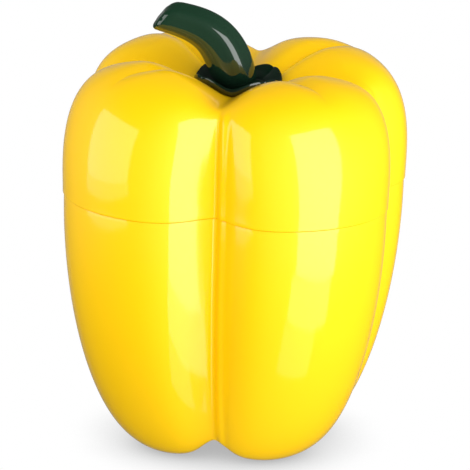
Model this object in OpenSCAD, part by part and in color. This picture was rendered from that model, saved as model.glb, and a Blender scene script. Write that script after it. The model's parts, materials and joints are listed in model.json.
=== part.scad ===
// Pepper keeper: a push-fit storage pot moulded in the shape of a bell pepper.
// The yellow base cup and lid meet at a lapped rim that follows the lobes.
// The green stem is its own moulding, snapped into a bore in the lid.
// The origin is on the table, under the middle of the pot. +Z is up.

/* [Plan shape] */
// Number of lobes round the pepper
lobes = 4; // [3:1:5]
// Distance from the middle to the centre of each lobe's round, at the parting line
lobe_offset = 21.5; // [19:0.1:25]
// Radius of each lobe's round, at the parting line
lobe_radius = 37.4; // [35:0.1:40]
// How far each valley is turned from its even place, counter-clockwise from the one at +X
valley_shift = [-1.1, -2.2, -1.6, -0.8]; // [-6:0.5:6]
// Width over which two lobes blend in a valley
valley_blend = 1.3; // [1:0.1:3]
// Depth of the groove along each valley, at the parting line
groove_depth = 7.5; // [5:0.1:9]
// Half width of a valley's groove, as an angle round the pot
groove_width = 11.4; // [9:0.1:14]

/* [Heights] */
// Height of the parting line above the table
seam_height = 85; // [76:0.5:94]
// Height of the lobes' crests above the parting line
crest_rise = 41.5; // [38:0.5:46]
// Extra height of each lobe's crest, counter-clockwise from the lobe at +X +Y
crest_lift = [0.9, 0.6, 2.3, 1.1]; // [0:0.1:4]
// Height of the stem seat above the parting line
seat_rise = 30.8; // [29:0.5:34]
// Height of the valleys' shoulders above the parting line
valley_rise = 34.5; // [30:0.5:36]
// Height of the hollow under the middle of the base
hollow_height = 6; // [4:0.5:9]
// Height at which the valleys run out under the base
valley_foot_height = 7.3; // [6:0.1:12]

/* [Profile of a lobe] */
// Distance from the middle to the foot of each lobe
foot_reach = 24.4; // [20:0.5:26]
// How far the foot's curve carries outwards before it turns up
foot_sweep = 21; // [17:0.5:25]
// How far the flank stays upright below the parting line
flank_sweep = 38.6; // [32:0.1:46]
// How far the flank stays upright above the parting line
shoulder_sweep = 7.4; // [6:0.1:14]
// Distance from the middle to a lobe's crest
crest_reach = 33; // [30:0.5:36]
// How far the crest's curve carries outwards before it turns down
crest_sweep = 30.3; // [25:0.1:33]
// How far the crest's curve carries inwards, towards the stem seat
crest_inner_sweep = 5.5; // [3:0.5:10]
// How far the crown stays up as it drops to the stem seat
crown_drop = 7; // [3:0.5:9]
// Depth ground off each foot to give it a flat
foot_flat = 0.5; // [0.3:0.1:1]

/* [Profile of a valley] */
// Distance from the middle to where a valley runs out under the base
valley_foot_reach = 27.8; // [25:0.1:34]
// How far a valley's foot carries outwards before it turns up
valley_foot_sweep = 6; // [3:0.5:10]
// How far a valley stays upright below the parting line
valley_flank_sweep = 47; // [38:0.5:54]
// How far a valley stays upright above the parting line
valley_shoulder_sweep = 21.9; // [16:0.5:26]
// Distance from the middle to a valley's shoulder
valley_shoulder_reach = 36; // [30:0.5:38]
// How far the valley's shoulder carries outwards before it turns down
valley_shoulder_spread = 10.1; // [7:0.1:13]
// How far the valley's shoulder carries inwards, towards the stem seat
valley_inner_sweep = 8; // [3:0.5:12]
// How far a valley stays above the stem seat before it levels out
valley_crown_drop = 1.8; // [0:0.1:3]

/* [Pleats] */
// Depth of the pleat on each lobe's inner shoulder
pleat_depth = 4; // [2:0.1:5]
// Half width of a pleat
pleat_width = 4.4; // [3:0.1:6]
// Distance from the middle at which a pleat has faded out
pleat_reach = 50; // [42:0.5:54]
// Distance over which a pleat begins beside the stem seat
pleat_start = 4; // [2:0.5:8]

/* [Walls and rim] */
// Thickness of the moulded wall
wall = 2.4; // [2:0.1:3]
// Height of the base's collar above the parting line
collar_height = 6; // [4:0.5:8]
// Thickness of the collar
collar_wall = 1.5; // [1.2:0.1:2]
// Thickness of the lid's skirt outside the collar
skirt_wall = 1.2; // [1:0.05:1.4]
// Gap between the collar and the skirt, all round
lap_clearance = 0.25; // [0.2:0.05:0.4]
// Gap above the collar when the lid is down
collar_headroom = 0.4; // [0.3:0.1:1]
// Gap between the lid's rim and the base's shoulder, seen as the parting line
seam_gap = 0.15; // [0.1:0.05:0.3]
// How far the lid's rim stands proud of the base
rim_step = 0.4; // [0.2:0.1:0.6]
// Rounding of the two edges at the parting line
rim_round = 0.6; // [0.4:0.1:0.7]
// Height over which the base wall thickens into the collar
collar_root = 7; // [5:0.5:10]

/* [Stem and calyx] */
// Radius of the flat seat for the stem in the lid
seat_radius = 9; // [8:0.5:10]
// Thickness of the calyx
calyx_wall = 1.6; // [1.2:0.1:2]
// Gap between the calyx and the lid where it spreads over the lobes
calyx_clearance = 0.3; // [0.2:0.05:0.5]
// Share of the way from the seat to the crests that the calyx covers
calyx_spread = 0.26; // [0.22:0.02:0.4]
// Radius of the stem just above the calyx
stem_root_radius = 5.7; // [5.2:0.1:6.6]
// Radius of the stem at the bend
stem_bend_radius = 6.9; // [6:0.1:8]
// Radius of the stem at its cut end
stem_end_radius = 5; // [4.5:0.1:6.5]
// Rounding of the cut end's edge
stem_end_round = 1.6; // [0.8:0.1:2]
// Height of the stem's end above the calyx
stem_rise = 22.4; // [16:0.1:24]
// How far the stem leans out to the side
stem_lean = 25.1; // [20:0.1:28]
// Direction in which the stem leans, from +X
stem_turn = 186; // [0:1:359]
// Slant of the stem's cut end, longer on its underside
cut_slant = 28; // [0:1:35]
// Number of ridges along the stem
ridges = 6; // [4:1:8]
// Height of the ridges
ridge_height = 0.5; // [0.3:0.05:0.8]

/* [Snap peg] */
// Radius of the peg that holds the stem in the lid
peg_radius = 4; // [3.5:0.1:4.5]
// Gap between the peg and its bore
peg_clearance = 0.15; // [0.1:0.05:0.3]
// How far the peg's lip overhangs the bore
lip = 0.6; // [0.4:0.05:0.8]
// Height of the peg's lip
lip_height = 3; // [2:0.25:4]
// Gap between the lip and the underside of the lid
lip_clearance = 0.15; // [0.1:0.05:0.3]
// Width of the slots that let the lip spring
slot_width = 1.2; // [0.8:0.1:1.6]

/* [Hidden] */

yellow = [0.98, 0.85, 0.0];
green = [0.04, 0.16, 0.09];

// Points round a shell, the stem and the peg, and rings in each stretch of a profile
shell_sides = 64;
stem_sides = 40;
peg_sides = 48;
bottom_rings = 6;
flank_rings = 11;
shoulder_rings = 10;
crown_rings = 7;
inner_bottom_rings = 3;
inner_flank_rings = 7;
inner_shoulder_rings = 8;
inner_crown_rings = 5;

// How much the facets gather in the valleys and the pleats, as a share of a lobe's angle
gather = 0.025;
// Shares of a foot's reach over which the hollow stays level, and where it has come down
hollow_level = 0.4;
hollow_slope = 0.55;
valley_slope = 0.6;
// Where the crown turns level beside the stem seat, as a share of the seat's radius
seat_approach = 1.4;

// Where the calyx lifts off its seat, as a share of the seat's radius, and how far its edge flares
calyx_seat = 0.9;
calyx_flare = 1.03;

// Handles of the stem's middle line, as shares of its lean and its rise
stem_leave = [0.2, 0.68];
stem_arrive = [0.33, 0.87];

pitch = 360 / lobes;
lobe_reach = lobe_offset + lobe_radius;
crest_height = seam_height + crest_rise;
seat_height = seam_height + seat_rise;
valley_height = seam_height + valley_rise;

// Plan radius of one lobe's round, seen from the middle at an angle from its centre line
function lobe_round(angle) =
    abs(angle) >= 90 ? 0
    : let (half = pow(lobe_radius, 2) - pow(lobe_offset * sin(angle), 2))
        half <= 0 ? 0 : lobe_offset * cos(angle) + sqrt(half);

// The larger of two values, blended over the width of a valley
function soft_max(a, b) =
    max(a, b) + pow(max(valley_blend - abs(a - b), 0), 2) / (4 * valley_blend);

// Angle from the nearest lobe's centre line
function from_lobe(turn) = abs(turn - pitch * floor(turn / pitch) - pitch / 2);

// The value of a list that belongs to one lobe, or to the valley before it
function of_lobe(values, which) = values[((which + lobes) % lobes) % len(values)];

// Direction in which a point lies, with the valleys turned from their even places
function placed(turn) =
    let (
        which = floor(turn / pitch),
        share = turn / pitch - which,
        before = of_lobe(valley_shift, which),
        after = of_lobe(valley_shift, which + 1)
    )
    turn + before + (after - before) * share;

// Plan radius at the parting line: neighbouring rounds, with a groove where they meet
function plan_radius(turn) =
    let (near = from_lobe(turn), from_valley = pitch / 2 - near)
    soft_max(lobe_round(near), lobe_round(pitch - near))
        - groove_depth * exp(-pow(from_valley / groove_width, 2));

valley_reach = plan_radius(0);

// 0 in a valley and 1 on a lobe's centre line
function fullness(turn) = (plan_radius(turn) - valley_reach) / (lobe_reach - valley_reach);

// The same at a point of the surface: on the crown the valleys widen to soft dips round the seat
function full_at(turn, stretch, t) =
    let (share = stretch < 3 ? 0 : t * t * (3 - 2 * t))
    fullness(turn) * (1 - share) + pow(sin(180 * turn / pitch), 2) * share;

// Point on a curve with two end points and two handles
function curve(p, t) =
    pow(1 - t, 3) * p[0] + 3 * pow(1 - t, 2) * t * p[1] + 3 * (1 - t) * t * t * p[2] + pow(t, 3) * p[3];

// Profiles as [reach, height], from the middle of the bottom to the stem seat
lobe_profile = [
    [[0, hollow_height], [foot_reach * hollow_level, hollow_height],
        [foot_reach * hollow_slope, -foot_flat], [foot_reach, -foot_flat]],
    [[foot_reach, -foot_flat], [foot_reach + foot_sweep, -foot_flat],
        [lobe_reach, seam_height - flank_sweep], [lobe_reach, seam_height]],
    [[lobe_reach, seam_height], [lobe_reach, seam_height + shoulder_sweep],
        [crest_reach + crest_sweep, crest_height], [crest_reach, crest_height]],
    [[crest_reach, crest_height], [crest_reach - crest_inner_sweep, crest_height],
        [seat_radius * seat_approach, seat_height + crown_drop], [seat_radius, seat_height]]
];
valley_profile = [
    [[0, hollow_height], [foot_reach * hollow_level, hollow_height],
        [valley_foot_reach * valley_slope, valley_foot_height], [valley_foot_reach, valley_foot_height]],
    [[valley_foot_reach, valley_foot_height], [valley_foot_reach + valley_foot_sweep, valley_foot_height],
        [valley_reach, seam_height - valley_flank_sweep], [valley_reach, seam_height]],
    [[valley_reach, seam_height], [valley_reach, seam_height + valley_shoulder_sweep],
        [valley_shoulder_reach + valley_shoulder_spread, valley_height],
        [valley_shoulder_reach, valley_height]],
    [[valley_shoulder_reach, valley_height], [valley_shoulder_reach - valley_inner_sweep, valley_height],
        [seat_radius * seat_approach, seat_height + valley_crown_drop], [seat_radius, seat_height]]
];

// Depth of the pleat at a point of the top, which fades outwards and towards the seat
function pleat(turn, reach) =
    let (
        across = reach * sin(from_lobe(turn)),
        fade = max(0, min(1, (pleat_reach - reach) / (pleat_reach - seat_radius))),
        start = max(0, min(1, (reach - seat_radius) / pleat_start))
    )
    pleat_depth * sin(90 * fade) * sin(90 * start) * exp(-pow(across / pleat_width, 2));

// Extra height of the top at a point of a lobe, which grows towards the crest
function lift(turn, stretch, at) =
    let (
        up = (at[1] - seam_height) / crest_rise,
        out = max(0, min(1, (at[0] - seat_radius) / (crest_reach - seat_radius))),
        grown = stretch == 2 ? up * up : out * out * (3 - 2 * out)
    )
    of_lobe(crest_lift, floor(turn / pitch)) * grown * pow(cos(from_lobe(turn) * 180 / pitch), 2);

// Point of the outer surface: stretch 0 is the bottom, 1 the flank, 2 the shoulder, 3 the crown
function skin(turn, stretch, t, pleated = 1) =
    let (
        low = curve(valley_profile[stretch], t),
        high = curve(lobe_profile[stretch], t),
        at = low + (high - low) * full_at(turn, stretch, t),
        rise = stretch < 2 ? 0 : lift(turn, stretch, at) - pleated * pleat(turn, at[0])
    )
    [at[0] * cos(placed(turn)), at[0] * sin(placed(turn)), at[1] + rise];

// Outward direction of the outer surface
function skin_normal(turn, stretch, t) =
    let (
        step = 0.004,
        across = skin(turn + 0.4, stretch, t) - skin(turn - 0.4, stretch, t),
        up = skin(turn, stretch, min(t + step, 1)) - skin(turn, stretch, max(t - step, 0)),
        n = cross(across, up)
    )
    n / norm(n);

// Point at a depth under the outer surface
function under_skin(turn, stretch, t, depth) =
    skin(turn, stretch, t) - depth * skin_normal(turn, stretch, t);

// Point of the outline at the parting line, moved inwards and set to a height
function rim_point(turn, depth, height) =
    let (p = under_skin(turn, 1, 1, depth)) [p[0], p[1], height];

function turns(sides) = [for (i = [0 : sides - 1]) i * 360 / sides];
shell_turns = [for (a = turns(shell_sides)) a - gather * pitch * sin(2 * a * lobes)];
function rim_ring(depth, height) = [for (a = shell_turns) rim_point(a, depth, height)];
function skin_ring(stretch, t, depth) = [for (a = shell_turns) under_skin(a, stretch, t, depth)];

// The base stands on flats where its feet would reach below the table
function stand(ring) = [for (p = ring) [p[0], p[1], max(p[2], 0)]];

// The base's flank eases in by the rim step as it nears the parting line
function base_ring(t) = skin_ring(1, t, rim_step * t);

// One closed solid from rings of points between two end points
module shell(start, rings, finish) {
    sides = len(rings[0]);
    last = len(rings) - 1;
    points = concat([start], [for (ring = rings) for (p = ring) p], [finish]);
    function at(ring, i) = 1 + ring * sides + i % sides;
    faces = concat(
        [for (i = [0 : sides - 1]) [0, at(0, i), at(0, i + 1)]],
        [for (k = [0 : last - 1]) for (i = [0 : sides - 1])
            each [[at(k, i), at(k + 1, i), at(k + 1, i + 1)],
                [at(k, i), at(k + 1, i + 1), at(k, i + 1)]]],
        [for (i = [0 : sides - 1]) [len(points) - 1, at(last, i + 1), at(last, i)]]
    );
    polyhedron(points, faces, convexity = 8);
}

// Lower half: lobed cup with a collar that the lid slides over
collar_depth = skirt_wall + lap_clearance;
collar_inner = collar_depth + collar_wall;
collar_top = seam_height + collar_height;

module base_cup() {
    outer = concat(
        [for (k = [1 : bottom_rings]) stand(skin_ring(0, k / bottom_rings, 0))],
        [for (k = [1 : flank_rings - 1]) stand(base_ring(k / flank_rings))]
    );
    rim = [
        rim_ring(rim_step, seam_height - rim_round),
        rim_ring(rim_step + rim_round * 0.3, seam_height - rim_round * 0.3),
        rim_ring(rim_step + rim_round, seam_height),
        rim_ring(collar_depth, seam_height),
        rim_ring(collar_depth, collar_top - rim_round),
        rim_ring(collar_depth + rim_round * 0.6, collar_top),
        rim_ring(collar_inner, collar_top),
        rim_ring(collar_inner, seam_height)
    ];
    root_t = 1 - collar_root / (3 * flank_sweep);
    inner = concat(
        [for (k = [inner_flank_rings : -1 : 0])
            skin_ring(1, root_t * k / inner_flank_rings, wall)],
        [for (k = [inner_bottom_rings : -1 : 1])
            skin_ring(0, k / (inner_bottom_rings + 0.5), wall)]
    );
    color(yellow)
        shell([0, 0, hollow_height], concat(outer, rim, inner), [0, 0, hollow_height + wall]);
}

// Share of the way up a lobe's shoulder at which it reaches a height
function shoulder_t(height, low = 0, high = 1, steps = 12) =
    let (middle = (low + high) / 2)
    steps == 0 ? high
    : curve(lobe_profile[2], middle)[1] < height ? shoulder_t(height, middle, high, steps - 1)
    : shoulder_t(height, low, middle, steps - 1);

// Upper half: lobed shell with a skirt over the collar, pleated shoulders and a bored seat
module lid() {
    skirt_top = collar_top + collar_headroom;
    rim_bottom = seam_height + seam_gap;
    lead_t = shoulder_t(rim_bottom + rim_round);
    under_seat = [0, 0, seat_height - wall];
    rim = [
        rim_ring(skirt_wall, rim_bottom),
        rim_ring(rim_round, rim_bottom),
        rim_ring(rim_round * 0.3, rim_bottom + rim_round * 0.3),
        rim_ring(0, rim_bottom + rim_round)
    ];
    outer = concat(
        [for (k = [1 : shoulder_rings]) skin_ring(2, lead_t + (1 - lead_t) * k / shoulder_rings, 0)],
        [for (k = [1 : crown_rings]) skin_ring(3, k / crown_rings, 0)]
    );
    first_t = shoulder_t(skirt_top + 1);
    inner = concat(
        [for (k = [0 : inner_shoulder_rings])
            skin_ring(2, first_t + (1 - first_t) * k / inner_shoulder_rings, wall)],
        [for (k = [1 : inner_crown_rings]) skin_ring(3, k / inner_crown_rings, wall)]
    );
    color(yellow)
        difference() {
            shell(
                under_seat,
                concat(
                    [for (k = [len(inner) - 1 : -1 : 0]) inner[k]],
                    [rim_ring(wall, skirt_top), rim_ring(skirt_wall, skirt_top)],
                    rim,
                    outer
                ),
                [0, 0, seat_height]
            );
            translate([0, 0, seat_height - 2 * wall])
                cylinder(r = peg_radius + peg_clearance, h = 3 * wall, $fn = peg_sides);
        }
}

// Middle line of the stem above the calyx, as [lean, rise]
stem_line = [
    [0, 0],
    [stem_lean * stem_leave[0], stem_rise * stem_leave[1]],
    [stem_lean * stem_arrive[0], stem_rise * stem_arrive[1]],
    [stem_lean, stem_rise]
];
stem_rings = 11;

// Point on the stem: a ridged round set square to the middle line, drawn in and back at its end
function stem_point(turn, t, inset, back) =
    let (
        at = curve(stem_line, t),
        ahead = curve(stem_line, min(t + 0.01, 1)) - curve(stem_line, max(t - 0.01, 0)),
        tilt = atan2(ahead[0], ahead[1]),
        bend = sin(180 * sqrt(t)),
        plain = stem_root_radius * (1 - t) + stem_end_radius * t
            + bend * (stem_bend_radius - (stem_root_radius + stem_end_radius) / 2),
        radius = plain - inset + ridge_height * cos(ridges * turn) * min(1, 0.3 + 3 * t),
        side = radius * cos(turn),
        slant = side * tan(cut_slant) * pow(t, 4) - back
    )
    [
        at[0] + side * cos(tilt) + slant * sin(tilt),
        radius * sin(turn),
        at[1] - side * sin(tilt) + slant * cos(tilt)
    ];

function turned(p, angle) =
    [p[0] * cos(angle) - p[1] * sin(angle), p[0] * sin(angle) + p[1] * cos(angle), p[2]];

// Stalk, calyx and snap peg, moulded in one
module stem() {
    calyx_rings = 4;
    calyx_base = seat_height + calyx_wall;
    edge_t = 1 - calyx_spread;
    function under(turn, t) = skin(turn, 3, t, 0) + [0, 0, calyx_clearance];
    function over(turn, t) = skin(turn, 3, t, 0) + [0, 0, calyx_clearance + calyx_wall];
    angles = turns(stem_sides);
    seat_ring = [for (a = angles)
        let (reach = seat_radius * calyx_seat)
        [reach * cos(placed(a)), reach * sin(placed(a)), seat_height]];
    under_rings = [for (k = [1 : calyx_rings])
        [for (a = angles) under(a, 1 - calyx_spread * k / calyx_rings)]];
    edge_ring = [for (a = angles)
        let (p = over(a, edge_t)) [p[0] * calyx_flare, p[1] * calyx_flare, p[2] - calyx_wall / 2]];
    over_rings = [for (k = [calyx_rings : -1 : 1])
        [for (a = angles) over(a, 1 - calyx_spread * k / calyx_rings)]];
    function stalk_ring(t, inset, back) = [for (a = angles)
        turned(stem_point(a - stem_turn, t, inset, back), stem_turn) + [0, 0, calyx_base]];
    stalk_rings = concat(
        [for (k = [0 : stem_rings - 1]) stalk_ring(k / stem_rings, 0, 0)],
        [
            stalk_ring(1, 0, stem_end_round),
            stalk_ring(1, stem_end_round * 0.3, stem_end_round * 0.3),
            stalk_ring(1, stem_end_round, 0)
        ]
    );
    tip = curve(stem_line, 1);
    tip_point = turned([tip[0], 0, tip[1]], stem_turn) + [0, 0, calyx_base];
    color(green) {
        shell(
            [0, 0, seat_height],
            concat([seat_ring], under_rings, [edge_ring], over_rings, stalk_rings),
            tip_point
        );
        difference() {
            lip_top = seat_height - wall - lip_clearance;
            lip_radius = peg_radius + peg_clearance + lip;
            peg_length = lip_height + lip_clearance + wall + calyx_wall / 2;
            translate([0, 0, lip_top - lip_height]) {
                cylinder(r = peg_radius, h = peg_length, $fn = peg_sides);
                cylinder(r1 = peg_radius, r2 = lip_radius, h = lip_height, $fn = peg_sides);
            }
            for (angle = [0, 90])
                rotate(angle)
                    translate([-2 * peg_radius, -slot_width / 2, lip_top - 2 * lip_height])
                        cube([4 * peg_radius, slot_width, 2 * lip_height + wall / 2]);
        }
    }
}

base_cup();
lid();
stem();
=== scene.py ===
"""Looks of the pepper keeper: glossy lobed shells, a ridged stem, and the studio they stand in."""

import json
import logging
import math
from dataclasses import dataclass
from enum import IntEnum
from typing import Protocol, Sequence

import bmesh
import bpy
import numpy as np
from mathutils import Matrix, Vector


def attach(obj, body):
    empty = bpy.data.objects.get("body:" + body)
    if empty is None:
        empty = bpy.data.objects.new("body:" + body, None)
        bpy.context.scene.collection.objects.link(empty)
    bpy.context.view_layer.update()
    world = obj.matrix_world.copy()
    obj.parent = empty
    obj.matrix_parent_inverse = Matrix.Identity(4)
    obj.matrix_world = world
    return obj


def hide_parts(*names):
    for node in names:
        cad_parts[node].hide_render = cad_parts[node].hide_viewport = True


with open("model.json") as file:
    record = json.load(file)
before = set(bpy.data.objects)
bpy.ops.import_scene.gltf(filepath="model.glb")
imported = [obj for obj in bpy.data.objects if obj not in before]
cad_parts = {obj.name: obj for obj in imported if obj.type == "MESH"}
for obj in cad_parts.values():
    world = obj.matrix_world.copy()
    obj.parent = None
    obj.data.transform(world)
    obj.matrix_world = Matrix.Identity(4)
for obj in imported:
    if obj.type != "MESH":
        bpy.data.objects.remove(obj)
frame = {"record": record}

log = logging.getLogger("pepper_keeper")

MM = 0.001


class Stretch(IntEnum):
    """The four stretches of the outer surface, from the middle of the base to the stem seat."""

    BOTTOM = 0
    FLANK = 1
    SHOULDER = 2
    CROWN = 3


def degrees_cos(angle: np.ndarray | float) -> np.ndarray | float:
    """Cosine of an angle in degrees."""
    return np.cos(np.radians(angle))


def degrees_sin(angle: np.ndarray | float) -> np.ndarray | float:
    """Sine of an angle in degrees."""
    return np.sin(np.radians(angle))


def curve(points: Sequence[Sequence[float]], t: float) -> np.ndarray:
    """Point on a cubic curve.

    Args:
        points: Start, two handles and end.
        t: Share of the way along, from 0 to 1.

    Returns:
        The point, with as many numbers as each of the four has.
    """
    start, leave, arrive, end = (np.array(p, float) for p in points)
    s = 1 - t
    return s**3 * start + 3 * s * s * t * leave + 3 * s * t * t * arrive + t**3 * end


@dataclass(frozen=True)
class PepperForm:
    """Outer surface of the pepper, in millimetres, as the CAD solids have it."""

    lobes: int = 4
    lobe_offset: float = 21.5
    lobe_radius: float = 37.4
    valley_shift: tuple[float, ...] = (-1.1, -2.2, -1.6, -0.8)
    valley_blend: float = 1.3
    groove_depth: float = 7.5
    groove_width: float = 11.4
    seam_height: float = 85
    crest_rise: float = 41.5
    crest_lift: tuple[float, ...] = (0.9, 0.6, 2.3, 1.1)
    seat_rise: float = 30.8
    valley_rise: float = 34.5
    hollow_height: float = 6
    valley_foot_height: float = 7.3
    foot_reach: float = 24.4
    foot_sweep: float = 21
    flank_sweep: float = 38.6
    shoulder_sweep: float = 7.4
    crest_reach: float = 33
    crest_sweep: float = 30.3
    crest_inner_sweep: float = 5.5
    crown_drop: float = 7
    foot_flat: float = 0.5
    valley_foot_reach: float = 27.8
    valley_foot_sweep: float = 6
    valley_flank_sweep: float = 47
    valley_shoulder_sweep: float = 21.9
    valley_shoulder_reach: float = 36
    valley_shoulder_spread: float = 10.1
    valley_inner_sweep: float = 8
    valley_crown_drop: float = 1.8
    pleat_depth: float = 4
    pleat_width: float = 4.4
    pleat_reach: float = 50
    pleat_start: float = 4
    crease_share: float = 0.36
    crease_width: float = 1.1
    seat_radius: float = 9
    hollow_level: float = 0.4
    hollow_slope: float = 0.55
    valley_slope: float = 0.6
    seat_approach: float = 1.4
    bead_start: float = 0.12
    bead_end: float = 0.35
    bead_skin: float = 1.1
    valley_marks: tuple[tuple[float, float, float], ...] = (
        (0.6, -0.8, 1.1),
        (2.3, 0.5, 1.0),
        (4.4, -0.4, 0.9),
    )

    @property
    def pitch(self) -> float:
        """Angle that one lobe takes, in degrees."""
        return 360 / self.lobes

    @property
    def lobe_reach(self) -> float:
        """Distance from the middle to the outside of a lobe at the parting line."""
        return self.lobe_offset + self.lobe_radius

    @property
    def valley_reach(self) -> float:
        """Distance from the middle to the bottom of a valley at the parting line."""
        return float(self.plan_radius(np.zeros(1))[0])

    @property
    def seat_height(self) -> float:
        """Height of the flat seat that the stem stands on."""
        return self.seam_height + self.seat_rise

    def from_lobe(self, turn: np.ndarray) -> np.ndarray:
        """Angle from the nearest lobe's centre line."""
        return np.abs(np.mod(turn, self.pitch) - self.pitch / 2)

    def lobe_round(self, angle: np.ndarray) -> np.ndarray:
        """Plan radius of one lobe's round, seen from the middle.

        Args:
            angle: Angles from the lobe's centre line, in degrees.

        Returns:
            The radii, 0 where the round isn't met.
        """
        half = self.lobe_radius**2 - (self.lobe_offset * degrees_sin(angle)) ** 2
        met = (np.abs(angle) < 90) & (half > 0)
        return np.where(met, self.lobe_offset * degrees_cos(angle) + np.sqrt(np.maximum(half, 0)), 0)

    def plan_radius(self, turn: np.ndarray) -> np.ndarray:
        """Plan radius at the parting line: neighbouring rounds, with a groove where they meet.

        Args:
            turn: Angles round the pepper, in degrees.

        Returns:
            The radii, one for each angle.
        """
        near = self.from_lobe(turn)
        one, other = self.lobe_round(near), self.lobe_round(self.pitch - near)
        overlap = np.maximum(self.valley_blend - np.abs(one - other), 0)
        groove = self.groove_depth * np.exp(-(((self.pitch / 2 - near) / self.groove_width) ** 2))
        return np.maximum(one, other) + overlap**2 / (4 * self.valley_blend) - groove

    def fullness(self, turn: np.ndarray, stretch: Stretch, t: float) -> np.ndarray:
        """0 in a valley and 1 on a lobe's centre line.

        Args:
            turn: Angles round the pepper.
            stretch: Which stretch; on the crown the valleys widen to soft dips.
            t: Share of the way along the stretch.

        Returns:
            The shares, one for each angle.
        """
        sharp = (self.plan_radius(turn) - self.valley_reach) / (self.lobe_reach - self.valley_reach)
        soft = degrees_sin(180 * turn / self.pitch) ** 2
        share = t * t * (3 - 2 * t) if stretch == Stretch.CROWN else 0
        return sharp * (1 - share) + soft * share

    def placed(self, turn: np.ndarray) -> np.ndarray:
        """Direction in which a point lies, with the valleys turned from their even places.

        Args:
            turn: Angles round the pepper, in degrees.

        Returns:
            The directions, in degrees.
        """
        which = np.floor(turn / self.pitch).astype(int)
        share = turn / self.pitch - which
        shifts = np.array(self.valley_shift, float)
        return turn + shifts[which % self.lobes] * (1 - share) + shifts[(which + 1) % self.lobes] * share

    def lobe_profile(self) -> list[list[tuple[float, float]]]:
        """Profile over a lobe's centre line, as four cubic curves of reach and height."""
        seam, crest, floor = self.seam_height, self.seam_height + self.crest_rise, -self.foot_flat
        foot, reach, out = self.foot_reach, self.lobe_reach, self.crest_reach
        hollow, seat = self.hollow_height, self.seat_height
        return [
            [
                (0, hollow),
                (foot * self.hollow_level, hollow),
                (foot * self.hollow_slope, floor),
                (foot, floor),
            ],
            [
                (foot, floor),
                (foot + self.foot_sweep, floor),
                (reach, seam - self.flank_sweep),
                (reach, seam),
            ],
            [
                (reach, seam),
                (reach, seam + self.shoulder_sweep),
                (out + self.crest_sweep, crest),
                (out, crest),
            ],
            [
                (out, crest),
                (out - self.crest_inner_sweep, crest),
                (self.seat_radius * self.seat_approach, seat + self.crown_drop),
                (self.seat_radius, seat),
            ],
        ]

    def valley_profile(self) -> list[list[tuple[float, float]]]:
        """Profile along a valley, as four cubic curves of reach and height."""
        seam, top, low = self.seam_height, self.seam_height + self.valley_rise, self.valley_foot_height
        foot, reach, out = self.valley_foot_reach, self.valley_reach, self.valley_shoulder_reach
        hollow, seat = self.hollow_height, self.seat_height
        return [
            [
                (0, hollow),
                (self.foot_reach * self.hollow_level, hollow),
                (foot * self.valley_slope, low),
                (foot, low),
            ],
            [
                (foot, low),
                (foot + self.valley_foot_sweep, low),
                (reach, seam - self.valley_flank_sweep),
                (reach, seam),
            ],
            [
                (reach, seam),
                (reach, seam + self.valley_shoulder_sweep),
                (out + self.valley_shoulder_spread, top),
                (out, top),
            ],
            [
                (out, top),
                (out - self.valley_inner_sweep, top),
                (self.seat_radius * self.seat_approach, seat + self.valley_crown_drop),
                (self.seat_radius, seat),
            ],
        ]

    def shoulder_share(self, height: float) -> float:
        """Share of the way up a lobe's shoulder at which it reaches a height.

        Args:
            height: The height above the table.

        Returns:
            The share, from 0 to 1.
        """
        low, high = 0.0, 1.0
        for _ in range(24):
            middle = (low + high) / 2
            if curve(self.lobe_profile()[Stretch.SHOULDER], middle)[1] < height:
                low = middle
            else:
                high = middle
        return high

    def pleat(self, turn: np.ndarray, reach: np.ndarray) -> np.ndarray:
        """Depth of the pleat on each lobe's inner shoulder, a soft fold with a crease along it.

        Args:
            turn: Angles round the pepper, in degrees.
            reach: Distances from the middle.

        Returns:
            The depths, one for each angle.
        """
        across = reach * degrees_sin(self.from_lobe(turn))
        fade = np.clip((self.pleat_reach - reach) / (self.pleat_reach - self.seat_radius), 0, 1)
        start = np.clip((reach - self.seat_radius) / self.pleat_start, 0, 1)
        depth = self.pleat_depth * degrees_sin(90 * fade) * degrees_sin(90 * start)
        fold = np.exp(-((across / self.pleat_width) ** 2))
        crease = np.exp(-np.abs(across) / self.crease_width)
        return depth * (fold * (1 - self.crease_share) + crease * self.crease_share)

    def bead(self, turn: np.ndarray, stretch: Stretch, t: float, reach: np.ndarray) -> np.ndarray:
        """Extra reach of the bead that runs beside each valley, with a crease on either side.

        Each valley mark is a place across the valley, a rise and a half width.

        Args:
            turn: Angles round the pepper.
            stretch: Which stretch; the bead runs out under the base and on the shoulder.
            t: Share of the way along the stretch.
            reach: Distances from the middle.

        Returns:
            The extra reach, one for each angle.
        """
        ends = {Stretch.FLANK: t / self.bead_start, Stretch.SHOULDER: (1 - t) / self.bead_end}
        along = min(1, ends.get(stretch, 0))
        aside = np.mod(turn + self.pitch / 2, self.pitch) - self.pitch / 2
        across = reach * degrees_sin(aside)
        found = np.zeros_like(across)
        for place, rise, width in self.valley_marks:
            found = found + rise * np.exp(-(((across - place) / width) ** 2))
        return found * along

    def lift(self, turn: np.ndarray, stretch: Stretch, reach: np.ndarray, height: np.ndarray) -> np.ndarray:
        """Extra height of the top on each lobe, which grows towards its crest.

        Args:
            turn: Angles round the pepper, in degrees.
            stretch: Which stretch, the shoulder or the crown.
            reach: Distances from the middle.
            height: Heights before the lift.

        Returns:
            The extra heights, one for each angle.
        """
        up = (height - self.seam_height) / self.crest_rise
        out = np.clip((reach - self.seat_radius) / (self.crest_reach - self.seat_radius), 0, 1)
        grown = up * up if stretch == Stretch.SHOULDER else out * out * (3 - 2 * out)
        which = np.floor(turn / self.pitch).astype(int) % self.lobes
        round_lobe = degrees_cos(self.from_lobe(turn) * 180 / self.pitch) ** 2
        return np.array(self.crest_lift, float)[which] * grown * round_lobe

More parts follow.
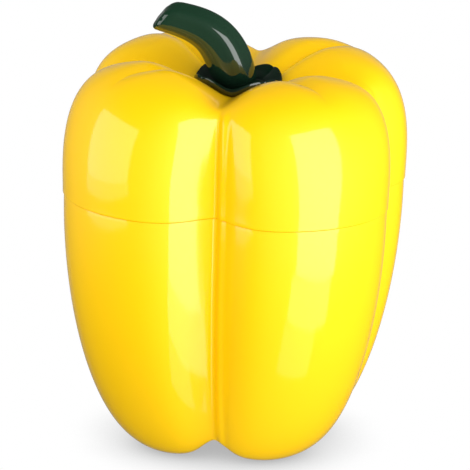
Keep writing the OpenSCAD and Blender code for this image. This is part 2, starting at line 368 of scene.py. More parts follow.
    def skin(
        self, turn: np.ndarray, stretch: Stretch, t: float, pleated: float = 1, beaded: float = 1
    ) -> np.ndarray:
        """Points of the outer surface.

        Args:
            turn: Angles round the pepper, in degrees.
            stretch: Which of the four stretches.
            t: Share of the way along the stretch.
            pleated: 1 with the lobes' pleats, 0 without.
            beaded: 1 with the beads beside the valleys, 0 without.

        Returns:
            An array of points, one row for each angle.
        """
        low = curve(self.valley_profile()[stretch], t)
        high = curve(self.lobe_profile()[stretch], t)
        full = self.fullness(turn, stretch, t)
        reach = low[0] + (high[0] - low[0]) * full
        height = low[1] + (high[1] - low[1]) * full
        if stretch >= Stretch.SHOULDER:
            rise = self.lift(turn, stretch, reach, height)
            height = height + rise - pleated * self.pleat(turn, reach)
        reach = reach + beaded * self.bead(turn, stretch, t, reach)
        way = self.placed(turn)
        return np.stack([reach * degrees_cos(way), reach * degrees_sin(way), height], -1)

    def normal(self, turn: np.ndarray, stretch: Stretch, t: float, beaded: float = 1) -> np.ndarray:
        """Outward directions of the outer surface.

        Args:
            turn: Angles round the pepper, in degrees.
            stretch: Which of the four stretches.
            t: Share of the way along the stretch.
            beaded: 1 with the beads beside the valleys, 0 without.

        Returns:
            An array of unit vectors, one row for each angle.
        """
        step, spread = 0.004, 0.3
        across = self.skin(turn + spread, stretch, t, 1, beaded)
        across = across - self.skin(turn - spread, stretch, t, 1, beaded)
        up = self.skin(turn, stretch, min(t + step, 1), 1, beaded)
        up = up - self.skin(turn, stretch, max(t - step, 0), 1, beaded)
        out = np.cross(across, up)
        return out / np.linalg.norm(out, axis=-1, keepdims=True)

    def under(self, turn: np.ndarray, stretch: Stretch, t: float, depth: float) -> np.ndarray:
        """Points at a depth under the outer surface; the beads show near the outside alone.

        Args:
            turn: Angles round the pepper, in degrees.
            stretch: Which of the four stretches.
            t: Share of the way along the stretch.
            depth: Distance under the surface, square to it.

        Returns:
            An array of points, one row for each angle.
        """
        beaded = float(depth < self.bead_skin)
        points = self.skin(turn, stretch, t, 1, beaded)
        return points - depth * self.normal(turn, stretch, t, beaded) if depth else points


class Ring(Protocol):
    """One ring of a spun shell, which knows where its points go."""

    def points(self, form: PepperForm, turn: np.ndarray) -> np.ndarray:
        """Points of the ring.

        Args:
            form: The pepper's surface.
            turn: Angles round the pepper, in degrees.

        Returns:
            An array of points, one row for each angle.
        """


@dataclass(frozen=True)
class SkinRing:
    """A ring at a depth under the pepper's surface."""

    stretch: Stretch
    t: float
    depth: float = 0

    def points(self, form: PepperForm, turn: np.ndarray) -> np.ndarray:
        """Points of the ring, kept above the table."""
        found = form.under(turn, self.stretch, self.t, self.depth)
        if self.depth < 1:
            found[:, 2] = np.maximum(found[:, 2], 0)
        return found


@dataclass(frozen=True)
class RimRing:
    """A ring that follows the outline at the parting line, moved inwards and set to a height."""

    depth: float
    height: float

    def points(self, form: PepperForm, turn: np.ndarray) -> np.ndarray:
        """Points of the ring."""
        found = form.under(turn, Stretch.FLANK, 1, self.depth)
        found[:, 2] = self.height
        return found


@dataclass(frozen=True)
class RoundRing:
    """A plain round ring."""

    radius: float
    height: float

    def points(self, form: PepperForm, turn: np.ndarray) -> np.ndarray:
        """Points of the ring."""
        way = form.placed(turn)
        level = np.full_like(way, self.height)
        return np.stack([self.radius * degrees_cos(way), self.radius * degrees_sin(way), level], -1)


@dataclass(frozen=True)
class SpunShell:
    """A closed shell: a straight profile is spun, and each ring then moves to its place."""

    form: PepperForm
    sides: int
    valley_draw: float = 0.15
    pleat_draw: float = 0.45

    def nominal_turn(self, angle: np.ndarray) -> np.ndarray:
        """Angles of the spun rings, drawn together in the valleys and pleats, which turn fast.

        Args:
            angle: Even angles round the shell, in degrees.

        Returns:
            The angles at which the surface is worked out.
        """
        once = 360 / self.form.pitch
        draw = self.valley_draw * degrees_sin(once * angle) / once
        draw = draw + self.pleat_draw * degrees_sin(2 * once * angle) / (2 * once)
        return angle - np.degrees(draw)

    def build(self, rings: Sequence[Ring], start: float | None, finish: float | None) -> bmesh.types.BMesh:
        """Spins and shapes the shell.

        Args:
            rings: The rings in order, from the start to the finish.
            start: Height of the point that closes the first ring, or None for a shell with a bore.
            finish: Height of the point that closes the last ring, or None for a shell with a bore.

        Returns:
            The mesh, in metres, with its faces pointing outwards.
        """
        bm = bmesh.new()
        bored = start is None
        line = [bm.verts.new((1, 0, k + 1)) for k in range(len(rings))]
        if not bored:
            line = [bm.verts.new((0, 0, 0)), *line, bm.verts.new((0, 0, len(rings) + 1))]
        edges = [bm.edges.new(pair) for pair in zip(line, line[1:])]
        if bored:
            edges.append(bm.edges.new((line[-1], line[0])))
        bmesh.ops.spin(
            bm, geom=line + edges, cent=(0, 0, 0), axis=(0, 0, 1), dvec=(0, 0, 0),
            angle=math.tau, steps=self.sides, use_merge=True, use_duplicate=False,
        )
        bmesh.ops.remove_doubles(bm, verts=bm.verts[:], dist=1e-4)
        self.settle_order(bm)
        self.shape(bm, rings, start, finish)
        bmesh.ops.recalc_face_normals(bm, faces=bm.faces[:])
        return bm

    def spot(self, vert: bmesh.types.BMVert) -> tuple[int, int]:
        """Numbers of the ring and the side that a point of the spun profile belongs to."""
        side = round(math.degrees(math.atan2(vert.co.y, vert.co.x)) * self.sides / 360)
        return round(vert.co.z) - 1, side % self.sides

    def settle_order(self, bm: bmesh.types.BMesh) -> None:
        """Sorts points, edges and faces, which merging leaves in another order on each run.

        Args:
            bm: The spun mesh, with each ring at a height of its own number.
        """
        def corners(part: bmesh.types.BMEdge | bmesh.types.BMFace) -> list[int]:
            """Numbers of the part's points, the least first."""
            return sorted(v.index for v in part.verts)

        for parts, place in ((bm.verts, self.spot), (bm.edges, corners), (bm.faces, corners)):
            ranks = {part: rank for rank, part in enumerate(sorted(parts, key=place))}
            parts.sort(key=ranks.get)
            parts.index_update()

    def shape(
        self, bm: bmesh.types.BMesh, rings: Sequence[Ring], start: float | None, finish: float | None
    ) -> None:
        """Moves each point of the spun profile to its ring's place.

        Args:
            bm: The spun mesh, with each ring at a height of its own number.
            rings: The rings in order.
            start: Height of the point that closes the first ring, or None.
            finish: Height of the point that closes the last ring, or None.
        """
        turn = self.nominal_turn(np.arange(self.sides) * 360 / self.sides)
        placed = [ring.points(self.form, turn) * MM for ring in rings]
        for vert in bm.verts:
            level, side = self.spot(vert)
            if 0 <= level < len(rings):
                vert.co = placed[level][side]
            else:
                vert.co = (0, 0, (start if level < 0 else finish) * MM)


def shares(first: float, last: float, count: int) -> list[float]:
    """Evenly spaced values from the first to the last, both included."""
    return [first + (last - first) * k / (count - 1) for k in range(count)]


def new_piece(name: str, bm: bmesh.types.BMesh) -> bpy.types.Object:
    """Makes an object from a mesh, smooth shaded, and reports it.

    Args:
        name: The object's name.
        bm: The mesh, which is freed.

    Returns:
        The new object, linked to the scene.
    """
    mesh = bpy.data.meshes.new(name)
    bm.to_mesh(mesh)
    bm.free()
    mesh.polygons.foreach_set("use_smooth", [True] * len(mesh.polygons))
    piece = bpy.data.objects.new(name, mesh)
    bpy.context.scene.collection.objects.link(piece)
    log.info("%s: %d faces", name, len(mesh.polygons))
    return piece


@dataclass(frozen=True)
class Walls:
    """Wall and rim sizes, in millimetres."""

    wall: float = 2.4
    collar_height: float = 6
    collar_wall: float = 1.5
    skirt_wall: float = 1.2
    lap_clearance: float = 0.25
    collar_headroom: float = 0.4
    seam_gap: float = 0.15
    rim_step: float = 0.4
    rim_round: float = 0.2
    collar_root: float = 7
    peg_bore: float = 4.15

    @property
    def collar_depth(self) -> float:
        """Depth of the collar's outer face under the outline."""
        return self.skirt_wall + self.lap_clearance


def rounded_edge(out: float, level: float, radius: float, turn_up: bool, steps: int = 6) -> list[RimRing]:
    """Rings of a rounded edge between an upright face and a level one.

    Args:
        out: Depth of the upright face.
        level: Height of the level face.
        radius: Radius of the edge.
        turn_up: True for an edge whose level face is on top, False where it is underneath.
        steps: Number of rings.

    Returns:
        The rings, from the upright face to the level one.
    """
    sign = 1 if turn_up else -1
    angles = shares(0, math.pi / 2, steps)
    return [
        RimRing(out + radius * (1 - math.cos(a)), level - sign * radius * (1 - math.sin(a)))
        for a in angles
    ]


@dataclass(frozen=True)
class BaseCup:
    """Lower half: a lobed cup with a collar for the lid."""

    form: PepperForm
    walls: Walls
    sides: int = 384

    def rings(self) -> list[Ring]:
        """Rings from the middle of the underside, up the outside, over the collar and down inside."""
        w, seam = self.walls, self.form.seam_height
        bottom = [SkinRing(Stretch.BOTTOM, t) for t in shares(0.06, 1, 18)]
        flank = [SkinRing(Stretch.FLANK, t, w.rim_step * t) for t in shares(0.02, 0.985, 56)]
        shoulder = rounded_edge(w.rim_step, seam, w.rim_round, True)
        collar_top = seam + w.collar_height
        inner_depth = w.collar_depth + w.collar_wall
        collar = [
            RimRing(w.collar_depth, seam),
            *(RimRing(w.collar_depth, seam + w.collar_height * s) for s in (0.05, 0.5)),
            *rounded_edge(w.collar_depth, collar_top, w.rim_round, True),
            RimRing(inner_depth, collar_top),
            *(RimRing(inner_depth, seam + w.collar_height * s) for s in (0.95, 0.5, 0)),
        ]
        root = 1 - w.collar_root / (3 * self.form.flank_sweep)
        inner = [SkinRing(Stretch.FLANK, t, w.wall) for t in shares(root, 0, 36)]
        floor = [SkinRing(Stretch.BOTTOM, t, w.wall) for t in shares(0.92, 0.1, 10)]
        return [*bottom, *flank, *shoulder, *collar, *inner, *floor]

    def build(self) -> bpy.types.Object:
        """Makes the cup."""
        shell = SpunShell(self.form, self.sides)
        hollow = self.form.hollow_height
        return new_piece("cup_shell", shell.build(self.rings(), hollow, hollow + self.walls.wall))


@dataclass(frozen=True)
class Lid:
    """Upper half: a lobed shell with a skirt, pleated shoulders and a bored seat."""

    form: PepperForm
    walls: Walls
    sides: int = 384

    def rings(self) -> list[Ring]:
        """Rings from the bore's lower edge, down inside, round the rim and up the outside."""
        w, form = self.walls, self.form
        foot = form.seam_height + w.seam_gap
        skirt_top = form.seam_height + w.collar_height + w.collar_headroom
        first = form.shoulder_share(skirt_top + 1)
        lead = form.shoulder_share(foot + w.rim_round)
        under_seat = form.seat_height - w.wall
        rim = rounded_edge(0, foot, w.rim_round, False)
        return [
            RoundRing(w.peg_bore, under_seat),
            *(SkinRing(Stretch.CROWN, t, w.wall) for t in shares(1, 0, 30)),
            *(SkinRing(Stretch.SHOULDER, t, w.wall) for t in shares(0.97, first, 30)),
            RimRing(w.wall, skirt_top),
            RimRing(w.skirt_wall, skirt_top),
            RimRing(w.skirt_wall, (skirt_top + foot) / 2),
            RimRing(w.skirt_wall, foot),
            *rim[::-1],
            *(SkinRing(Stretch.SHOULDER, t) for t in shares(lead, 1, 58)[1:]),
            *(SkinRing(Stretch.CROWN, t) for t in shares(0, 1, 48)[1:]),
            RoundRing(w.peg_bore, form.seat_height),
        ]

    def build(self) -> bpy.types.Object:
        """Makes the lid."""
        shell = SpunShell(self.form, self.sides)
        return new_piece("lid_shell", shell.build(self.rings(), None, None))


@dataclass(frozen=True)
class CalyxRing:
    """A ring of the calyx, which follows the crown with shallower pleats."""

    t: float
    raised: float
    spread: float = 1
    fold: float = 0.4

    def points(self, form: PepperForm, turn: np.ndarray) -> np.ndarray:
        """Points of the ring."""
        found = form.skin(turn, Stretch.CROWN, self.t, self.fold)
        found[:, :2] *= self.spread
        found[:, 2] += self.raised
        return found


@dataclass(frozen=True)
class StalkRing:
    """A ring of the stalk: a ridged round set square to its middle line."""

    stalk: "Stem"
    t: float
    inset: float = 0
    back: float = 0

    def points(self, form: PepperForm, turn: np.ndarray) -> np.ndarray:
        """Points of the ring."""
        return self.stalk.stalk_points(form, turn, self.t, self.inset, self.back)


@dataclass(frozen=True)
class Stem:
    """Stalk, calyx and snap peg, moulded in one."""

    form: PepperForm
    walls: Walls
    sides: int = 192
    calyx_wall: float = 1.6
    calyx_clearance: float = 0.3
    calyx_spread: float = 0.26
    calyx_seat: float = 0.9
    calyx_flare: float = 1.03
    edge_rise: float = 0.7
    edge_share: float = 0.09
    root_radius: float = 5.7
    bend_radius: float = 6.9
    end_radius: float = 5
    end_round: float = 2.4
    rise: float = 22.4
    lean: float = 25.1
    leave: tuple[float, float] = (0.2, 0.68)
    arrive: tuple[float, float] = (0.33, 0.87)
    lean_turn: float = 186
    cut_slant: float = 28
    ridges: int = 6
    ridge_height: float = 0.2
    ridge_start: float = 0.3
    ridge_growth: float = 3
    peg_radius: float = 4
    peg_end_share: float = 0.5
    lip: float = 0.6
    lip_height: float = 3
    lip_clearance: float = 0.15
    slot_width: float = 1.2

    def middle_line(self) -> list[tuple[float, float]]:
        """Middle line of the stalk above the calyx, as lean and rise."""
        return [
            (0, 0),
            (self.lean * self.leave[0], self.rise * self.leave[1]),
            (self.lean * self.arrive[0], self.rise * self.arrive[1]),
            (self.lean, self.rise),
        ]

    def stalk_points(
        self, form: PepperForm, turn: np.ndarray, t: float, inset: float, back: float
    ) -> np.ndarray:
        """Points of one ring of the stalk.

        Args:
            form: The pepper that the stalk stands on.
            turn: Angles round the stalk.
            t: Share of the way along the stalk.
            inset: How far the ring is drawn in.
            back: How far the ring is drawn back along the stalk.

        Returns:
            An array of points, one row for each angle.
        """
        line = self.middle_line()
        at = curve(line, t)
        ahead = curve(line, min(t + 0.01, 1)) - curve(line, max(t - 0.01, 0))
        tilt = math.atan2(ahead[0], ahead[1])
        own = form.placed(turn) - self.lean_turn
        bend = math.sin(math.pi * math.sqrt(t))
        mean = (self.root_radius + self.end_radius) / 2
        plain = self.root_radius * (1 - t) + self.end_radius * t + bend * (self.bend_radius - mean)
        grown = min(1, self.ridge_start + self.ridge_growth * t)
        ridge = self.ridge_height * degrees_cos(self.ridges * own) * grown
        radius = plain - inset + ridge
        side = radius * degrees_cos(own)
        slant = side * math.tan(math.radians(self.cut_slant)) * t**4 - back
        lean = at[0] + side * math.cos(tilt) + slant * math.sin(tilt)
        away = radius * degrees_sin(own)
        height = form.seat_height + self.calyx_wall + at[1] - side * math.sin(tilt) + slant * math.cos(tilt)
        c, s = degrees_cos(self.lean_turn), degrees_sin(self.lean_turn)
        return np.stack([lean * c - away * s, lean * s + away * c, height], -1)

    def rings(self) -> list[Ring]:
        """Rings from the peg's lower end, out under the calyx, over its edge and along the stalk."""
        form = self.form
        over = self.calyx_clearance + self.calyx_wall
        lip_top = form.seat_height - self.walls.wall - self.lip_clearance
        lip_radius = self.walls.peg_bore + self.lip
        edge = 1 - self.calyx_spread
        peg = [
            RoundRing(self.peg_radius * self.peg_end_share, lip_top - self.lip_height),
            RoundRing(self.peg_radius, lip_top - self.lip_height),
            RoundRing(lip_radius, lip_top),
            RoundRing(self.peg_radius, lip_top),
            RoundRing(self.peg_radius, form.seat_height),
            RoundRing(form.seat_radius * self.calyx_seat, form.seat_height),
        ]
        under = [CalyxRing(t, self.calyx_clearance) for t in shares(0.98, edge, 12)]
        edge_height = self.calyx_wall + self.edge_rise
        rim = [
            CalyxRing(
                edge,
                self.calyx_clearance + edge_height * h,
                1 + (self.calyx_flare - 1) * math.sin(math.pi * h),
            )
            for h in (0.12, 0.3, 0.5, 0.7, 0.88)
        ]
        top = [
            CalyxRing(t, over + self.edge_rise * max(0, 1 - (t - edge) / self.edge_share) ** 2)
            for t in shares(edge, 0.99, 30)
        ]
        stalk = [StalkRing(self, t) for t in shares(0.0, 0.93, 60)]
        turn_in = [
            StalkRing(self, 1, self.end_round * (1 - math.cos(a)), self.end_round * (1 - math.sin(a)))
            for a in shares(0, math.pi / 2, 8)
        ]
        cut = [StalkRing(self, 1, self.end_radius * s) for s in (0.45, 0.7, 0.9)]
        return [*peg, *under, *rim, *top, *stalk, *turn_in, *cut]

    def build(self) -> bpy.types.Object:
        """Makes the stem."""
        shell = SpunShell(self.form, self.sides, 0, 0)
        lip_bottom = self.form.seat_height - self.walls.wall - self.lip_clearance - self.lip_height
        bm = shell.build(self.rings(), lip_bottom, self.form.seat_height)
        tip = curve(self.middle_line(), 1)
        bm.verts.ensure_lookup_table()
        last = min(bm.verts, key=lambda v: (v.co - Vector((0, 0, self.form.seat_height * MM))).length)
        c, s = degrees_cos(self.lean_turn), degrees_sin(self.lean_turn)
        last.co = Vector((tip[0] * c, tip[0] * s, self.form.seat_height + self.calyx_wall + tip[1])) * MM
        piece = new_piece("stem_moulding", bm)
        for turn in (0, 90):
            self.cut_slot(piece, turn)
        return piece

    def cut_slot(self, piece: bpy.types.Object, turn: float) -> None:
        """Cuts one of the slots that let the peg's lip spring.

        Args:
            piece: The stem.
            turn: Direction of the slot, in degrees.
        """
        top = self.form.seat_height - self.walls.wall / 2 - self.lip_clearance
        low = top - self.walls.wall / 2 - 2 * self.lip_height
        size = Vector((4 * self.peg_radius, self.slot_width, top - low)) * MM
        place = Matrix.Translation((0, 0, (top + low) / 2 * MM)) @ Matrix.Rotation(math.radians(turn), 4, "Z")
        bm = bmesh.new()
        bmesh.ops.create_cube(bm, size=1, matrix=place @ Matrix.Diagonal((*size, 1)))
        cutter = new_piece("slot_cutter", bm)
        cut = piece.modifiers.new("slot", "BOOLEAN")
        cut.operation, cut.solver, cut.object = "DIFFERENCE", "EXACT", cutter
        plain = piece.data
        graph = bpy.context.evaluated_depsgraph_get()
        piece.data = bpy.data.meshes.new_from_object(piece.evaluated_get(graph))
        piece.modifiers.clear()
        bpy.data.objects.remove(cutter)
        bpy.data.meshes.remove(plain)


def linear(hex_colour: str) -> tuple[float, float, float, float]:
    """Turns an sRGB hex value to linear values.

    Args:
        hex_colour: Six digits, such as FFCC00.

    Returns:
        Linear red, green, blue and alpha.
    """
    parts = [int(hex_colour[i : i + 2], 16) / 255 for i in (0, 2, 4)]
    red, green, blue = (p / 12.92 if p <= 0.04045 else ((p + 0.055) / 1.055) ** 2.4 for p in parts)
    return red, green, blue, 1


def add_node(
    tree: bpy.types.NodeTree,
    kind: str,
    links: dict[str | int, bpy.types.NodeSocket] | None = None,
    values: dict[str | int, object] | None = None,
    **settings: object,
) -> bpy.types.Node:
    """Adds one shader node.

    Args:
        tree: The node tree.
        kind: The node's type name.
        links: Sockets to link, by the name or number of this node's input.
        values: Values to set, by the name or number of this node's input.
        **settings: Properties of the node.

    Returns:
        The new node.
    """
    node = tree.nodes.new(kind)
    for key, value in settings.items():
        setattr(node, key, value)
    for key, value in (values or {}).items():
        node.inputs[key].default_value = value
    for key, socket in (links or {}).items():
        tree.links.new(socket, node.inputs[key])
    return node


def new_material(name: str) -> tuple[bpy.types.Material, bpy.types.NodeTree, bpy.types.Node]:
    """Makes an empty node material.

    Args:
        name: The material's name.

    Returns:
        The material, its tree and its output node.
    """
    material = bpy.data.materials.new(name)
    material.use_nodes = True
    material.node_tree.nodes.clear()
    return material, material.node_tree, add_node(material.node_tree, "ShaderNodeOutputMaterial")


@dataclass(frozen=True)
class MouldedPlastic:
    """Injection-moulded plastic out of a polished tool, slightly deeper in tint here and there at random;
    given a height range instead, the deeper tint is painted shade, darkest at the bottom of that range.

    The eye gets sharp reflections that waver a little, because the skin sinks by a few
    hundredths of a millimetre between the tool and the cooled part.
    """

    name: str
    tint: str
    # second tint: random clouds of deeper tone; with a height range, painted shade instead
    deep_tint_and_painted_shade: str
    roughness: float
    ior: float
    waver: float
    milkiness: float = 0
    haze: float = 0
    haze_roughness: float = 0.35
    cloud_size: float = 40 * MM
    # height range of painted shade, deepest at its bottom
    painted_shade_below: tuple[float, float] | None = None
    sink_size: float = 18 * MM
    grain_size: float = 1.2 * MM
    grain_spread: tuple[float, float] = (0.8, 1.3)
    scatter_depth: float = 4 * MM
    scatter_colour: tuple[float, float, float] = (1.0, 0.5, 0.1)

    def build(self) -> bpy.types.Material:
        """Makes the material."""
        material, tree, output = new_material(self.name)
        place = add_node(tree, "ShaderNodeTexCoord").outputs["Object"]
        # painted shade: the tint deepens down the height range, darkest over the calyx and the stalk's foot
        if self.painted_shade_below:
            height = add_node(tree, "ShaderNodeSeparateXYZ", {0: place}).outputs["Z"]
            low, high = self.painted_shade_below
            share = add_node(
                tree, "ShaderNodeMapRange", {"Value": height}, {"From Min": high, "From Max": low}
            ).outputs["Result"]
        else:
            share = add_node(
                tree, "ShaderNodeTexNoise", {"Vector": place}, {"Scale": 1 / self.cloud_size, "Detail": 2.0}
            ).outputs["Fac"]
        tint = add_node(tree, "ShaderNodeMix", {"Factor": share}, data_type="RGBA")
        colours = [s for s in tint.inputs if s.type == "RGBA"]
        colours[0].default_value, colours[1].default_value = linear(self.tint), linear(self.deep_tint_and_painted_shade)
        colour = next(s for s in tint.outputs if s.type == "RGBA")
        grain = add_node(
            tree, "ShaderNodeTexNoise", {"Vector": place}, {"Scale": 1 / self.grain_size, "Detail": 3.0}
        )
        finest, coarsest = (self.roughness * factor for factor in self.grain_spread)
        rough = add_node(
            tree, "ShaderNodeMapRange", {"Value": grain.outputs["Fac"]},
            {"To Min": finest, "To Max": coarsest},
        )
        sinks = add_node(
            tree, "ShaderNodeTexNoise", {"Vector": place}, {"Scale": 1 / self.sink_size, "Detail": 1.0}
        )
        bump = add_node(
            tree, "ShaderNodeBump", {"Height": sinks.outputs["Fac"]},
            {"Strength": 1.0, "Distance": self.waver},
        )
        shader = add_node(
            tree,
            "ShaderNodeBsdfPrincipled",
            {"Base Color": colour, "Roughness": rough.outputs["Result"], "Normal": bump.outputs["Normal"]},
            {
                "IOR": self.ior,
                "Subsurface Weight": self.milkiness,
                "Subsurface Scale": self.scatter_depth,
                "Coat Weight": self.haze,
                "Coat Roughness": self.haze_roughness,
            },
        )
        shader.inputs["Subsurface Radius"].default_value = self.scatter_colour
        tree.links.new(shader.outputs["BSDF"], output.inputs["Surface"])
        return material


# Glossy yellow ABS: deep warm yellow in the shade, lemon where the light falls on it
YELLOW_ABS = MouldedPlastic("polished_yellow_abs", "FFCC00", "FFC800", 0.08, 1.5, 0.04 * MM, 0.05, 0.24)
# Glossy green ABS: almost black where nothing reflects, blue-green in the light; painted shade darkens the
# calyx and the foot of the stalk to near black
GREEN_ABS = MouldedPlastic(
    "polished_green_abs",
    "183323",
    "07170E",
    0.06,
    1.7,
    0.05 * MM,
    sink_size=7 * MM,
    painted_shade_below=(118 * MM, 126 * MM),
)


@dataclass(frozen=True)
class Softbox:
    """A rectangular studio light that shows in the gloss, placed by the part of the view it fills."""

    name: str
    turns: tuple[float, float]
    heights: tuple[float, float]
    radiance: float
    distance: float = 1.1

    def build(self, camera_turn: float, target: Vector) -> None:
        """Makes the light.

        Args:
            camera_turn: Direction of the camera round the pot, in degrees.
            target: The point that the light faces.
        """
        data = bpy.data.lights.new(self.name, "AREA")
        data.shape = "RECTANGLE"
        data.size, data.size_y = (
            2 * self.distance * math.tan(math.radians(span[1] - span[0]) / 2)
            for span in (self.turns, self.heights)
        )
        data.energy = self.radiance * math.pi * data.size * data.size_y
        out = direction(camera_turn + sum(self.turns) / 2, sum(self.heights) / 2)
        light = bpy.data.objects.new(self.name, data)
        light.location = target + out * self.distance
        light.rotation_euler = (-out).to_track_quat("-Z", "Y").to_euler()
        light.visible_diffuse = False
        bpy.context.scene.collection.objects.link(light)


@dataclass(frozen=True)
class Glow:
    """A soft bright part of the surroundings, strongest in one direction and gone past an edge."""

    turn: float
    height: float
    edge: float
    fall: float
    level: float

    def build(
        self, tree: bpy.types.NodeTree, looking: bpy.types.NodeSocket, camera_turn: float
    ) -> bpy.types.Node:
        """Adds the nodes that work out the glow's strength in a direction.

        Args:
            tree: The world's node tree.
            looking: The direction in which a ray leaves the scene.
            camera_turn: Direction of the camera round the pot, in degrees.

        Returns:
            The node that gives the strength.
        """
        bright = direction(camera_turn + self.turn, self.height)
        facing = add_node(tree, "ShaderNodeVectorMath", {0: looking}, {1: bright}, operation="DOT_PRODUCT")
        near = add_node(
            tree, "ShaderNodeMapRange", {"Value": facing.outputs["Value"]}, {"From Min": self.edge}
        )
        fallen = add_node(
            tree, "ShaderNodeMath", {0: near.outputs["Result"]}, {1: self.fall}, operation="POWER"
        )
        return add_node(tree, "ShaderNodeMath", {0: fallen.outputs[0]}, {1: self.level}, operation="MULTIPLY")


def direction(turn: float, height: float) -> Vector:
    """Unit vector at an angle round the pot, from -Y towards +X, and an angle up, in degrees."""
    way, up = math.radians(turn), math.radians(height)
    return Vector((math.sin(way) * math.cos(up), -math.cos(way) * math.cos(up), math.sin(up)))


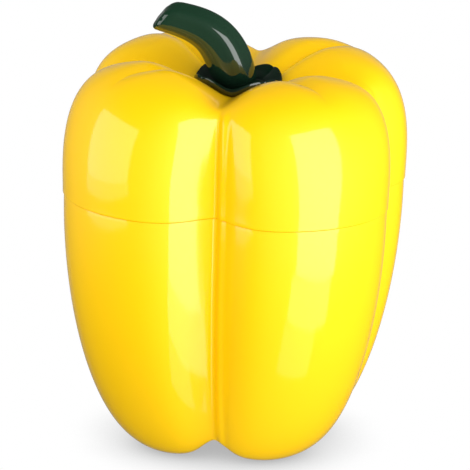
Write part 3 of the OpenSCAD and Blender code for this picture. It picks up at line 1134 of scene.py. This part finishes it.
@dataclass(frozen=True)
class Studio:
    """Camera, lights, floor and background of the photograph."""

    camera_turn: float = 7.963
    camera_height: float = 16.644
    camera_roll: float = 1.652
    distance: float = 2080.8 * MM
    aim_height: float = 60 * MM
    light_aim: float = 70 * MM
    pixels_per_mm: float = 3.1117
    frame_width: int = 470
    aim_x: float = 232.89
    aim_y: float = 257.81
    sensor: float = 36.0
    table_radius: float = 0.235
    table_light: tuple[float, float] = (0.5, 1.25)
    table_light_reach: float = 0.07
    shadow_size: float = 0.045
    shadow_tones: tuple[float, float] = (0.44, 1.0)
    open_sky: float = 0.6
    fill: float = 0.05
    glows: tuple[Glow, ...] = (
        Glow(24, -10, 0.0, 1, 2.8),
        Glow(-120, -6, 0.6, 1, 2.7),
        Glow(100, -10, 0.6, 1, 1.9),
        Glow(-60, 50, 0.6, 1, 0.2),
        Glow(180, 50, 0.0, 1, 0.65),
    )
    gloss_glows: tuple[Glow, ...] = (
        Glow(50, 2, -0.2, 1.8, 0.25),
        Glow(180, 5, 0.2, 1, 0.09),
        Glow(180, -5, 0.8, 1, 0.2),
    )
    boxes: tuple[Softbox, ...] = (
        Softbox("window_right", (22, 66), (-25, 41), 3.7),
        Softbox("window_right_hem", (22, 60), (-35, -25), 2.0),
        Softbox("window_right_foot", (20, 50), (-47, -35), 0.9),
        Softbox("window_left", (-100, -50), (-12, 29), 2.0),
        Softbox("window_left_hem", (-100, -50), (-17, -12), 1.0),
    )

    def build_camera(self) -> None:
        """Sets up the camera, aimed so that the pot falls where the photograph has it."""
        data = bpy.data.cameras.new("camera")
        data.sensor_width = self.sensor
        focal_pixels = self.pixels_per_mm * self.distance / MM
        data.lens = self.sensor * focal_pixels / self.frame_width
        camera = bpy.data.objects.new("camera", data)
        back = direction(self.camera_turn, self.camera_height)
        right = direction(self.camera_turn + 90, 0)
        up = back.cross(right)
        spin = Matrix.Rotation(math.radians(self.camera_roll), 3, back)
        right, up = spin @ right, spin @ up
        data.shift_x = (self.frame_width / 2 - self.aim_x) / self.frame_width
        data.shift_y = (self.aim_y - self.frame_width / 2) / self.frame_width
        camera.location = Vector((0, 0, self.aim_height)) + back * self.distance
        facing = Matrix((right, up, back)).transposed().to_4x4()
        camera.matrix_world = Matrix.Translation(camera.location) @ facing
        bpy.context.scene.collection.objects.link(camera)
        bpy.context.scene.camera = camera

    def build_floor(self) -> bpy.types.Object:
        """Makes the small white table: it keeps the shadow under the pot and is white past it."""
        bm = bmesh.new()
        bmesh.ops.create_circle(bm, cap_ends=True, segments=96, radius=self.table_radius)
        floor = new_piece("table", bm)
        floor.visible_glossy = False
        material, tree, output = new_material("white_acrylic_table")
        path = add_node(tree, "ShaderNodeLightPath")
        place = add_node(tree, "ShaderNodeTexCoord").outputs["Object"]
        aside = add_node(tree, "ShaderNodeSeparateXYZ", {0: place})
        light = add_node(
            tree, "ShaderNodeMapRange", {"Value": aside.outputs["X"]},
            {
                "From Min": -self.table_light_reach,
                "From Max": self.table_light_reach,
                "To Min": self.table_light[0],
                "To Max": self.table_light[1],
            },
        )
        # painted light: to every ray but the camera's, the table glows like a lamp, brighter towards +X
        bounce = add_node(
            tree, "ShaderNodeEmission", {"Strength": light.outputs["Result"]}, {"Color": linear("FFFFFF")}
        )
        # painted shadow: to the camera the table is a white glow, dimmed by ambient occlusion near the pot
        shade = add_node(
            tree, "ShaderNodeAmbientOcclusion", values={"Distance": self.shadow_size}, samples=16
        )
        tone = add_node(
            tree, "ShaderNodeMapRange", {"Value": shade.outputs["AO"]},
            {"From Max": self.open_sky, "To Min": self.shadow_tones[0], "To Max": self.shadow_tones[1]},
        )
        shown = add_node(
            tree, "ShaderNodeEmission", {"Strength": tone.outputs["Result"]}, {"Color": linear("FFFFFF")}
        )
        seen = add_node(
            tree, "ShaderNodeMixShader",
            {0: path.outputs["Is Camera Ray"], 1: bounce.outputs[0], 2: shown.outputs[0]},
        )
        tree.links.new(seen.outputs[0], output.inputs["Surface"])
        floor.data.materials.append(material)
        return floor

    def build_world(self) -> None:
        """Makes the surroundings: white to the camera, soft glows to matt light, dim to gloss."""
        world = bpy.data.worlds.new("studio")
        world.use_nodes = True
        tree = world.node_tree
        tree.nodes.clear()
        path = add_node(tree, "ShaderNodeLightPath")
        looking = add_node(tree, "ShaderNodeTexCoord").outputs["Generated"]
        backgrounds = []
        for base, glows in ((self.fill, self.glows), (0.0, self.gloss_glows)):
            level = add_node(tree, "ShaderNodeMath", values={0: base, 1: 0.0})
            for glow in glows:
                more = glow.build(tree, looking, self.camera_turn)
                level = add_node(tree, "ShaderNodeMath", {0: level.outputs[0], 1: more.outputs[0]})
            background = add_node(
                tree, "ShaderNodeBackground", {"Strength": level.outputs[0]}, {"Color": linear("FFFFFF")}
            )
            backgrounds.append(background)
        soft, glossy = backgrounds
        white = add_node(tree, "ShaderNodeBackground", values={"Color": linear("FFFFFF"), "Strength": 1.0})
        lit = add_node(
            tree, "ShaderNodeMixShader",
            {0: path.outputs["Is Glossy Ray"], 1: soft.outputs[0], 2: glossy.outputs[0]},
        )
        seen = add_node(
            tree, "ShaderNodeMixShader",
            {0: path.outputs["Is Camera Ray"], 1: lit.outputs[0], 2: white.outputs[0]},
        )
        output = add_node(tree, "ShaderNodeOutputWorld")
        tree.links.new(seen.outputs[0], output.inputs["Surface"])
        bpy.context.scene.world = world

    def build(self) -> None:
        """Builds the whole studio."""
        self.build_camera()
        self.build_floor()
        self.build_world()
        target = Vector((0, 0, self.light_aim))
        for box in self.boxes:
            box.build(self.camera_turn, target)
        bpy.context.scene.view_settings.view_transform = "Standard"


def dress(piece: bpy.types.Object, finish: bpy.types.Material, node: str) -> None:
    """Gives a piece its finish and makes it stand for its CAD node.

    Args:
        piece: The finished piece.
        finish: Its material.
        node: The CAD node that it replaces.
    """
    piece.data.materials.append(finish)
    body = next(b for b, nodes in frame["record"]["behaviour"]["bodies"].items() if node in nodes)
    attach(piece, body)
    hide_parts(node)
    log.info("%s stands for %s and rides on %s", piece.name, node, body)


def main() -> None:
    """Builds the keeper and its studio."""
    logging.basicConfig(level=logging.INFO, format="%(message)s")
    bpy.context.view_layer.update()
    form, walls = PepperForm(), Walls()
    yellow, green = YELLOW_ABS.build(), GREEN_ABS.build()
    dress(BaseCup(form, walls).build(), yellow, "base_cup")
    dress(Lid(form, walls).build(), yellow, "lid")
    dress(Stem(form, walls).build(), green, "stem")
    Studio().build()
    bpy.context.view_layer.update()


if __name__ == "__main__":
    main()
